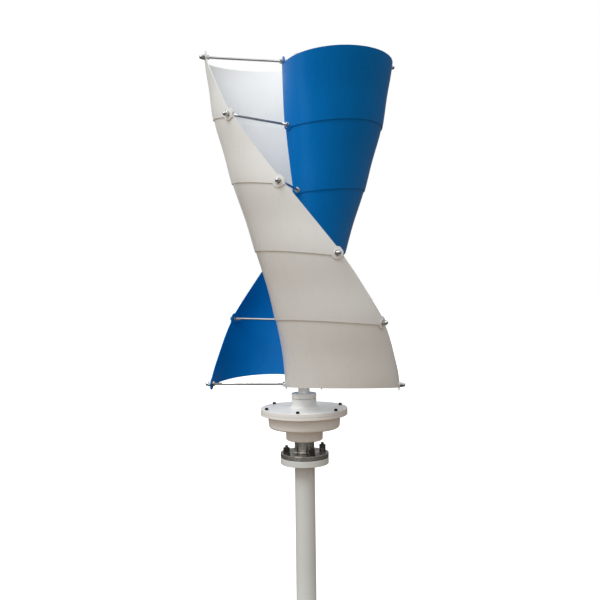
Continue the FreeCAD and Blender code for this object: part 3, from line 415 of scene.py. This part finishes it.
def machined(name, colour, low, high):
    """Milled or turned plain metal, unpolished: rings about Z, with a dull bloom."""
    finish = Finish(name, Metallic=1.0)
    rings = finish.noise(scale=1.0, detail=3.0, vector=finish.polar(MACHINED_RINGS, 0.5))
    bloom = finish.spread(finish.noise(scale=40.0, detail=5.0), 0.35, 0.7, 0.0, 1.0)
    finish.colour(finish.blend(bloom, rgba(colour), rgba(colour, 0.8)))
    finish.roughness(finish.spread(finish.math("ADD", rings, bloom), 0.4, 1.5, low, high))
    finish.bump(rings, distance=0.00003, strength=0.5)
    return finish.material


def nickel_plate(name):
    """Nickel plating on sintered magnets: bright, with a fine pebbled grain."""
    finish = Finish(name, Metallic=1.0)
    grain = finish.noise(scale=2200.0, detail=3.0)
    tone = finish.range_of(finish.noise(scale=60.0, detail=3.0), 0.0, 1.0)
    finish.colour(finish.blend(tone, rgba(DULL_NICKEL), rgba(NICKEL)))
    finish.roughness(finish.range_of(grain, 0.16, 0.26))
    finish.bump(grain, distance=0.00002, strength=0.5)
    return finish.material


def cast_resin(name):
    """Filled casting resin: dark amber, faintly mottled, with small pores."""
    finish = Finish(name, Metallic=0.0, IOR=1.55, Coat_Weight=0.3, Coat_Roughness=0.15)
    mottle = finish.range_of(finish.noise(scale=55.0, detail=5.0), 0.0, 1.0)
    pores = finish.spread(finish.cells(scale=320.0), 0.0, 0.12, 1.0, 0.0)
    resin = finish.blend(mottle, rgba(DARK_RESIN), rgba(LIGHT_RESIN))
    finish.colour(finish.blend(pores, resin, rgba(RESIN_PORE)))
    finish.roughness(finish.spread(mottle, 0.0, 1.0, 0.28, 0.42))
    finish.bump(pores, distance=-0.0002, strength=0.5)
    return finish.material


def copper_winding(name):
    """Enamelled copper wire: even bands across the radius, one for each turn."""
    finish = Finish(name, Metallic=0.9, Coat_Weight=0.7, Coat_Roughness=0.12)
    wire = finish.nodes.new("ShaderNodeTexWave")
    wire.wave_type = "BANDS"
    wire.bands_direction = "X"
    wire.inputs["Scale"].default_value = 1.0
    wire.inputs["Distortion"].default_value = 0.4
    finish.feed(wire.inputs["Vector"], finish.polar(WIRE_RINGS, 0.0))
    turns = wire.outputs["Fac"]
    finish.colour(finish.blend(turns, rgba(WIRE_GAP), rgba(COPPER)))
    finish.roughness(finish.spread(turns, 0.0, 1.0, 0.42, 0.24))
    finish.bump(turns, distance=0.0004, strength=0.6)
    return finish.material


def soft_rubber(name):
    """Black rubber with a fine bloom."""
    finish = Finish(name, Metallic=0.0, IOR=1.52)
    bloom = finish.spread(finish.noise(scale=120.0, detail=4.0), 0.35, 0.75, 0.0, 1.0)
    finish.colour(finish.blend(bloom, rgba(RUBBER), rgba(RUBBER_BLOOM)))
    finish.roughness(finish.spread(bloom, 0.0, 1.0, 0.55, 0.78))
    finish.bump(finish.noise(scale=1300.0, detail=2.0), distance=0.00005, strength=0.5)
    return finish.material


def moulded_plastic(name, colour):
    """Pale plastic or sheet rubber with a fine mould texture."""
    finish = Finish(name, Metallic=0.0, IOR=1.49)
    tone = finish.range_of(finish.noise(scale=30.0, detail=3.0), 0.0, 1.0)
    finish.colour(finish.blend(tone, rgba(colour, 0.95), rgba(colour)))
    finish.roughness(finish.range_of(finish.noise(scale=400.0, detail=2.0), 0.42, 0.55))
    finish.bump(finish.cells(scale=1400.0), distance=0.00005, strength=0.5)
    return finish.material


FINISHES = {
    "mast_paint": powder_coat("mast_powder_coat", MAST_PAINT),
    "housing_paint": powder_coat("housing_powder_coat", HOUSING_PAINT),
    "shaft_stainless": turned_steel("turned_stainless", STAINLESS, 0.18, 0.32),
    "fastener_stainless": bright_fastener("bright_stainless", FASTENER),
    "black_oxide": blackened("black_oxide_steel"),
    "blade_white": gel_coat("white_gel_coat", WHITE_GEL, WHITE_GEL_DEEP, 0.45, WHITE_TINT, 0.40),
    "blade_blue": gel_coat("blue_gel_coat", BLUE_GEL, BLUE_GEL_DEEP, 0.80, BLUE_TINT, 0.12),
    "bearing_steel": ground_steel("ground_bearing_steel", BEARING_STEEL),
    "cage_brass": machined("stamped_brass", BRASS, 0.22, 0.42),
    "plain_steel": machined("machined_steel", PLAIN_STEEL, 0.28, 0.5),
    "hub_aluminium": machined("machined_aluminium", ALUMINIUM, 0.24, 0.44),
    "magnet_nickel": nickel_plate("nickel_plating"),
    "resin": cast_resin("casting_resin"),
    "coil_copper": copper_winding("enamelled_copper"),
    "seal_rubber": soft_rubber("black_rubber"),
    "cap_plastic": moulded_plastic("white_plastic", WHITE_PLASTIC),
}
INSIDES = {
    # painted light: a brighter white for the inside of the white shells than for their outside
    "white": mat_side("white_mat_side_painted_light", WHITE_INSIDE_PAINTED_LIGHT, WHITE_INSIDE_DEEP_PAINTED_LIGHT, 0.15, WHITE_TINT, 0.0),
    "blue": mat_side("blue_mat_side", BLUE_GEL, BLUE_GEL_DEEP, 0.30, BLUE_TINT, 0.15),
}
FLANGE_FASTENER = bright_fastener("flange_stainless", DULL_FASTENER)
OWN_FINISHES = {
    "flange_nuts": FLANGE_FASTENER,
    "flange_washers": FLANGE_FASTENER,
    # painted light: the shaft's white is raised above the housing's to offset the shade from the blades
    "rotor_shaft": powder_coat("shaft_powder_coat_painted_light", SHAFT_PAINT_WITH_PAINTED_LIGHT),
    "cover_gasket": moulded_plastic("pale_gasket", PALE_GASKET),
}


def finish_packed_nodes():
    """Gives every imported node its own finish, or else the finish of its material slot."""
    for name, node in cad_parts.items():
        for index, packed in enumerate(node.data.materials):
            node.data.materials[index] = OWN_FINISHES.get(name, FINISHES[packed.name])


def finish_shell_inside(node, material):
    """Gives the hollow side of a blade shell its own finish: the faces that look towards its middle."""
    mesh = node.data
    middle = sum((vertex.co for vertex in mesh.vertices), Vector()) / len(mesh.vertices)
    mesh.materials.append(material)
    inside = len(mesh.materials) - 1
    for face in mesh.polygons:
        outwards = (face.center - middle).to_2d()
        if face.normal.to_2d().dot(outwards) < 0.0:
            face.material_index = inside


# ---- mesh building blocks ----

def new_piece(name, mesh_data, material, body):
    """Object from a bmesh, smooth except at sharp corners, that rides on a body."""
    mesh = bpy.data.meshes.new(name)
    bmesh.ops.recalc_face_normals(mesh_data, faces=mesh_data.faces)
    for face in mesh_data.faces:
        face.smooth = True
    mesh_data.to_mesh(mesh)
    mesh_data.free()
    mesh.materials.append(material)
    mesh.set_sharp_from_angle(angle=math.radians(SHARP_ANGLE))
    piece = bpy.data.objects.new(name, mesh)
    bpy.context.scene.collection.objects.link(piece)
    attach(piece, body)
    return piece


def around(count, phase=0.0):
    return [phase + 360.0 * index / count for index in range(count)]


def polar(radius, angle, z):
    return Vector((radius * math.cos(math.radians(angle)), radius * math.sin(math.radians(angle)), z))


def join_rings(mesh_data, rings, closed):
    """Faces between neighbouring rings of vertices, and from the last back to the first where closed."""
    pairs = list(zip(rings, rings[1:]))
    if closed:
        pairs.append((rings[-1], rings[0]))
    for first, second in pairs:
        count = len(first)
        for index in range(count):
            after = (index + 1) % count
            mesh_data.faces.new((first[index], first[after], second[after], second[index]))


def thread_radius(radius, pitch, along, turn):
    """Radius of a single-start thread at a distance along its bar and a share of a turn round it."""
    phase = (along / pitch - turn) % 1.0
    return radius - pitch * THREAD_SHARE * abs(2.0 * phase - 1.0)


def threaded_bar(mesh_data, place, length, radius, pitch, zones):
    """Bar along its own +X from 0 to length, placed by a matrix, with a thread in each zone."""
    step = pitch / THREAD_STEPS
    stations = [0.0, ROD_POINT]
    for start, end in zones:
        first = max(start, ROD_POINT + step)
        last = min(end, length - ROD_POINT - step)
        stations += [first + step * index for index in range(int((last - first) / step) + 1)]
    stations += [length - ROD_POINT, length]
    rings = []
    for along in stations:
        cut = any(start <= along <= end for start, end in zones)
        from_end = min(along, length - along)
        ring = []
        for index in range(THREAD_SEGMENTS):
            turn = index / THREAD_SEGMENTS
            here = thread_radius(radius, pitch, along, turn) if cut else radius
            here = min(here, radius - ROD_POINT + from_end)
            angle = 2.0 * math.pi * turn
            point_on_bar = Vector((along, here * math.cos(angle), here * math.sin(angle)))
            ring.append(mesh_data.verts.new(place @ point_on_bar))
        rings.append(ring)
    join_rings(mesh_data, rings, False)
    mesh_data.faces.new(rings[0])
    mesh_data.faces.new(rings[-1])


# ---- pieces ----

def threaded_studs():
    """The four flange studs, threaded from end to end."""
    low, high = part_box("flange_studs")
    length = high.z - low.z
    mesh_data = bmesh.new()
    for angle in around(STUD_COUNT, STUD_PHASE):
        foot = polar(STUD_CIRCLE, angle, low.z)
        place = Matrix.Translation(foot) @ Matrix.Rotation(math.radians(-90.0), 4, "Y")
        threaded_bar(mesh_data, place, length, STUD_RADIUS, STUD_PITCH, [(0.0, length)])
    studs = new_piece("threaded_studs", mesh_data, FLANGE_FASTENER, "mast")
    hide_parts("flange_studs")


def threaded_rod(level):
    """One tie rod, threaded at its ends and where the inner nuts sit."""
    name = "tie_rod_%d" % level
    low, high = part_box(name)
    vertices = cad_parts[name].data.vertices
    tip = max((vertex.co.to_2d() for vertex in vertices), key=lambda point: point.length)
    reach = tip.length
    turn = math.degrees(math.atan2(tip.y, tip.x))
    height = (low.z + high.z) / 2.0
    near, far = ROD_THREAD_INNER
    zones = [
        (0.0, ROD_THREAD_END),
        (reach - far, reach - near),
        (reach + near, reach + far),
        (2.0 * reach - ROD_THREAD_END, 2.0 * reach),
    ]
    place = Matrix.Translation((0.0, 0.0, height)) @ Matrix.Rotation(math.radians(turn), 4, "Z")
    place = place @ Matrix.Translation((-reach, 0.0, 0.0))
    mesh_data = bmesh.new()
    threaded_bar(mesh_data, place, 2.0 * reach, ROD_RADIUS, ROD_PITCH, zones)
    steel = drawn_steel("drawn_rod_%d" % level, FASTENER, turn)
    rod = new_piece("threaded_rod_%d" % level, mesh_data, steel, "rotor")
    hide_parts(name)


def weld_bead(name, corner_z, size, upwards):
    """Rippled fillet weld in the corner between the mast tube and a flat face."""
    side = 1.0 if upwards else -1.0
    mesh_data = bmesh.new()
    rings = []
    for angle in around(BEAD_SEGMENTS):
        ripple = 1.0 - BEAD_DEPTH * abs(math.sin(math.radians(angle * BEAD_RIPPLES / 2.0)))
        root = size * BEAD_ROOT
        ring = [mesh_data.verts.new(polar(MAST_RADIUS - root, angle, corner_z - side * root))]
        for index in range(BEAD_PROFILE):
            lean = math.radians(90.0 * index / (BEAD_PROFILE - 1))
            out = size * ripple * math.cos(lean)
            up = size * ripple * math.sin(lean)
            fill = 1.0 - BEAD_HOLLOW * math.sin(2.0 * lean)
            surface = polar(MAST_RADIUS + out * fill, angle, corner_z + side * up * fill)
            ring.append(mesh_data.verts.new(surface))
        rings.append(ring)
    join_rings(mesh_data, rings, True)
    bead = new_piece(name, mesh_data, FINISHES["mast_paint"], "mast")


# ---- studio ----

def studio_floor():
    """Pale floor, white with soft shadows to the camera.

    It lights the object dimly and warmly from below, and polished surfaces mirror it darker still.
    """
    mesh_data = bmesh.new()
    bmesh.ops.create_circle(mesh_data, cap_ends=True, radius=FLOOR_RADIUS, segments=FLOOR_SEGMENTS)
    mesh = bpy.data.meshes.new("studio_floor")
    mesh_data.to_mesh(mesh)
    mesh_data.free()
    floor = bpy.data.objects.new("studio_floor", mesh)
    bpy.context.scene.collection.objects.link(floor)

    material = bpy.data.materials.new("pale_floor")
    material.use_nodes = True
    nodes = material.node_tree.nodes
    link = material.node_tree.links.new
    nodes.remove(nodes["Principled BSDF"])
    grain = nodes.new("ShaderNodeTexNoise")
    grain.inputs["Scale"].default_value = FLOOR_GRAIN
    tone = nodes.new("ShaderNodeMix")
    tone.data_type = "RGBA"
    tone.inputs[MIX_FIRST].default_value = rgba(FLOOR_TONES[0])
    tone.inputs[MIX_SECOND].default_value = rgba(FLOOR_TONES[1])
    link(grain.outputs["Fac"], tone.inputs["Factor"])
    pale = nodes.new("ShaderNodeBsdfDiffuse")
    link(tone.outputs[MIX_RESULT], pale.inputs["Color"])
    glow = nodes.new("ShaderNodeEmission")
    glow.inputs["Strength"].default_value = FLOOR_GLOW
    seen = nodes.new("ShaderNodeAddShader")
    link(pale.outputs[0], seen.inputs[0])
    link(glow.outputs[0], seen.inputs[1])
    bounce = nodes.new("ShaderNodeBsdfDiffuse")
    bounce.inputs["Color"].default_value = rgba(FLOOR_BOUNCE)
    mirrored = nodes.new("ShaderNodeBsdfDiffuse")
    mirrored.inputs["Color"].default_value = rgba(FLOOR_MIRRORED)
    path = nodes.new("ShaderNodeLightPath")
    unseen = nodes.new("ShaderNodeMixShader")
    link(path.outputs["Is Glossy Ray"], unseen.inputs[0])
    link(bounce.outputs[0], unseen.inputs[1])
    link(mirrored.outputs[0], unseen.inputs[2])
    choose = nodes.new("ShaderNodeMixShader")
    link(path.outputs["Is Camera Ray"], choose.inputs[0])
    link(unseen.outputs[0], choose.inputs[1])
    link(seen.outputs[0], choose.inputs[2])
    link(choose.outputs[0], nodes["Material Output"].inputs["Surface"])
    mesh.materials.append(material)


def studio_walls():
    """World: plain white for the camera, and softly graded walls and ceiling for light and reflections."""
    world = bpy.data.worlds.new("studio")
    bpy.context.scene.world = world
    world.use_nodes = True
    nodes = world.node_tree.nodes
    link = world.node_tree.links.new
    direction = nodes.new("ShaderNodeTexCoord").outputs["Generated"]
    split = nodes.new("ShaderNodeSeparateXYZ")
    link(direction, split.inputs[0])
    x, y, z = split.outputs

    behind = nodes.new("ShaderNodeMath")
    behind.operation = "MULTIPLY"
    behind.inputs[1].default_value = -1.0
    link(y, behind.inputs[0])
    bearing = nodes.new("ShaderNodeMath")
    bearing.operation = "ARCTAN2"
    link(x, bearing.inputs[0])
    link(behind.outputs[0], bearing.inputs[1])
    share = nodes.new("ShaderNodeMapRange")
    share.inputs["From Min"].default_value = -math.pi
    share.inputs["From Max"].default_value = math.pi
    link(bearing.outputs[0], share.inputs["Value"])
    walls = nodes.new("ShaderNodeValToRGB")
    walls.color_ramp.interpolation = "B_SPLINE"
    stops = walls.color_ramp.elements
    while len(stops) < len(WALLS):
        stops.new(0.5)
    for stop, (angle, brightness) in zip(stops, WALLS):
        stop.position = (angle + 180.0) / 360.0
        stop.color = (brightness, brightness, brightness, 1.0)
    link(share.outputs[0], walls.inputs["Fac"])

    upper = nodes.new("ShaderNodeMapRange")
    upper.interpolation_type = "SMOOTHSTEP"
    upper.inputs["From Min"].default_value = CEILING_FROM
    upper.inputs["From Max"].default_value = CEILING_FULL
    link(z, upper.inputs["Value"])
    ceiling = nodes.new("ShaderNodeMix")
    ceiling.data_type = "RGBA"
    ceiling.inputs[MIX_SECOND].default_value = (CEILING, CEILING, CEILING, 1.0)
    link(upper.outputs[0], ceiling.inputs["Factor"])
    link(walls.outputs["Color"], ceiling.inputs[MIX_FIRST])

    lighting = nodes["Background"]
    link(ceiling.outputs[MIX_RESULT], lighting.inputs["Color"])
    plain = nodes.new("ShaderNodeBackground")
    plain.inputs["Color"].default_value = (1.0, 1.0, 1.0, 1.0)
    path = nodes.new("ShaderNodeLightPath")
    choose = nodes.new("ShaderNodeMixShader")
    link(path.outputs["Is Camera Ray"], choose.inputs[0])
    link(lighting.outputs[0], choose.inputs[1])
    link(plain.outputs[0], choose.inputs[2])
    link(choose.outputs[0], nodes["World Output"].inputs["Surface"])


def key_light():
    """Broad soft light from the left, the front and above."""
    lamp = bpy.data.lights.new("key", "SUN")
    lamp.energy = KEY_STRENGTH
    lamp.angle = math.radians(KEY_WIDTH)
    key = bpy.data.objects.new("key", lamp)
    key.rotation_mode = "QUATERNION"
    key.rotation_quaternion = Vector(KEY_FROM).to_track_quat("Z", "Y")
    bpy.context.scene.collection.objects.link(key)


def studio_camera():
    lens = bpy.data.cameras.new("camera")
    lens.lens = LENS_MM
    camera = bpy.data.objects.new("camera", lens)
    heading = Matrix.Rotation(math.radians(CAMERA_HEADING), 4, "Z")
    pitch = Matrix.Rotation(math.radians(90.0 + CAMERA_PITCH), 4, "X")
    roll = Matrix.Rotation(math.radians(CAMERA_ROLL), 4, "Z")
    camera.matrix_world = Matrix.Translation(CAMERA_PLACE) @ heading @ pitch @ roll
    bpy.context.scene.collection.objects.link(camera)
    bpy.context.scene.camera = camera


studio_camera()
studio_walls()
key_light()
studio_floor()
bpy.context.scene.view_settings.view_transform = "Standard"

finish_packed_nodes()
for colour in BLADE_COLOURS:
    for number in range(1, BLADE_SHELLS + 1):
        finish_shell_inside(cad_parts["%s_blade_%d" % (colour, number)], INSIDES[colour])
threaded_studs()
for level in range(1, ROD_LEVELS + 1):
    threaded_rod(level)
weld_bead("mast_top_weld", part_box("mast_tube")[1].z, TOP_BEAD, False)
weld_bead("mast_foot_weld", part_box("mast_tube")[0].z, FOOT_BEAD, True)
